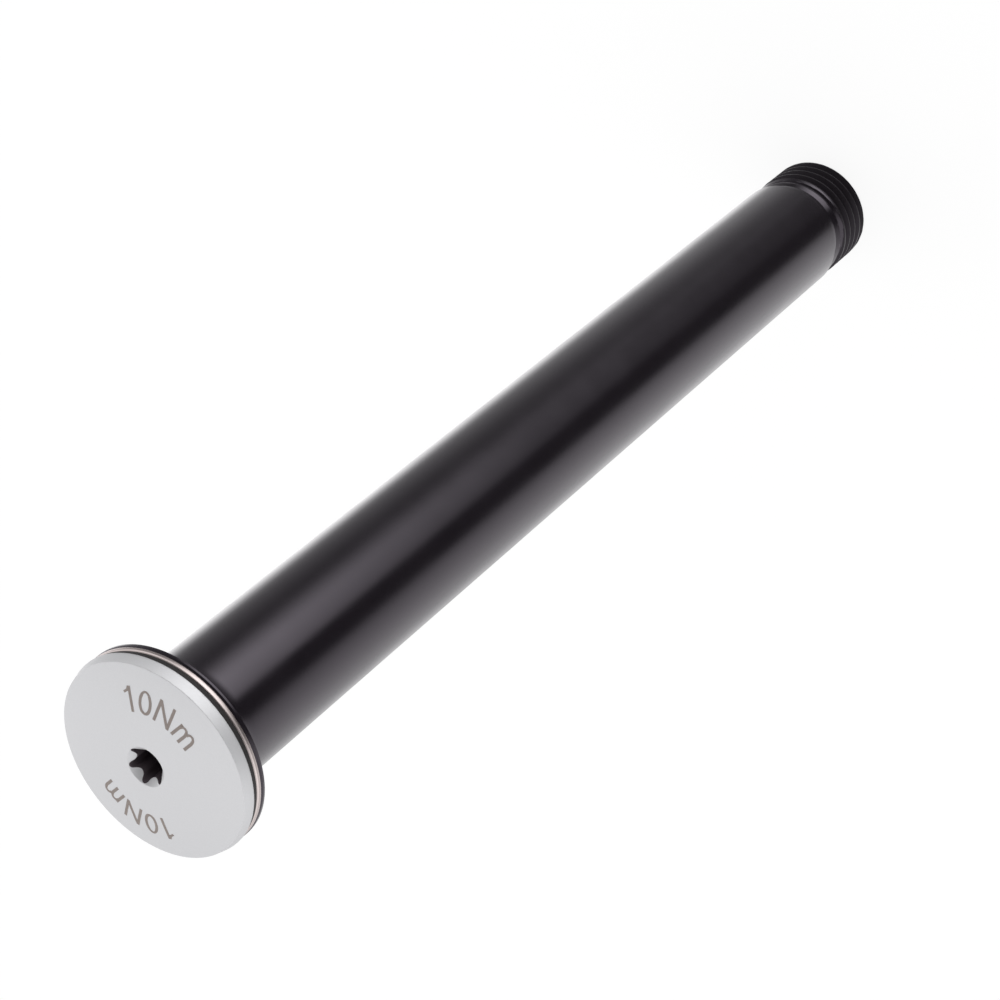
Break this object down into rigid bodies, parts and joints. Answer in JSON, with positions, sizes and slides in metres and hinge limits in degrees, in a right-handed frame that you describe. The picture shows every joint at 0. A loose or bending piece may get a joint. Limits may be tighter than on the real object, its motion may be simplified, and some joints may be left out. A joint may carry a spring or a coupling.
{
  "type": "bicycle thru axle",
  "caption": "Hollow bolt-up thru axle: plain round shank with a flared flange, fine-threaded end with a relief groove, and a domed head with a six-lobe socket over thin rings.",
  "frame": {"origin": "centre of the threaded end's face, on the axle's axis", "axes": "+Z along the axle from the threaded end to the head; +X through one point of the six-lobe socket"},
  "size_m": [0.0232, 0.0232, 0.1494],
  "materials": {
    "black_anodised_aluminium": "gloss black anodised, turned",
    "blasted_aluminium": "bead-blasted, clear anodised, matte",
    "black_rubber": "matte black rubber",
    "polished_steel": "polished stainless steel"
  },
  "bodies": {
    "root": {"axle_tube": "black_anodised_aluminium", "head_cap": "blasted_aluminium", "head_seal": "black_rubber", "polished_ring": "polished_steel"}
  },
  "joints": []
}
